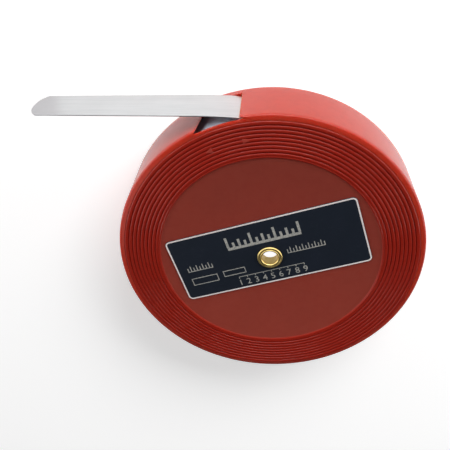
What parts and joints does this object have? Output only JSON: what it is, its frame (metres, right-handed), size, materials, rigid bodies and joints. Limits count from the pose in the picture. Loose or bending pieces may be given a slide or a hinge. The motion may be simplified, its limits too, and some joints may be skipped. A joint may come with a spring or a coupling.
{
  "type": "feeler gauge strip roll",
  "caption": "Roll of thin steel feeler gauge strip in a round red plastic dispenser case, with the free end out of its mouth.",
  "frame": {"origin": "middle of the eyelet's bore, on its axis", "axes": "+Z along the bore out of the front cover, with the case lying on its back; +Y from the bore towards the top of the case as the picture shows it; the strip's free end runs out along -X"},
  "size_m": [0.0932, 0.075, 0.0177],
  "materials": {
    "case_plastic": "gloss",
    "label_print": "satin",
    "eyelet_brass": "polished",
    "strip_steel": "satin"
  },
  "bodies": {
    "case": {"case_body": "case_plastic", "front_cover": "case_plastic", "label_plate": "label_print", "eyelet": "eyelet_brass", "strip_coil": "strip_steel"},
    "free_end": {"strip_end": "strip_steel"}
  },
  "joints": [
    {"name": "strip_pull", "type": "slide", "parent": "case", "child": "free_end", "axis": [-0.9996, -0.0288, 0], "range_m": [0, 0.05]}
  ]
}
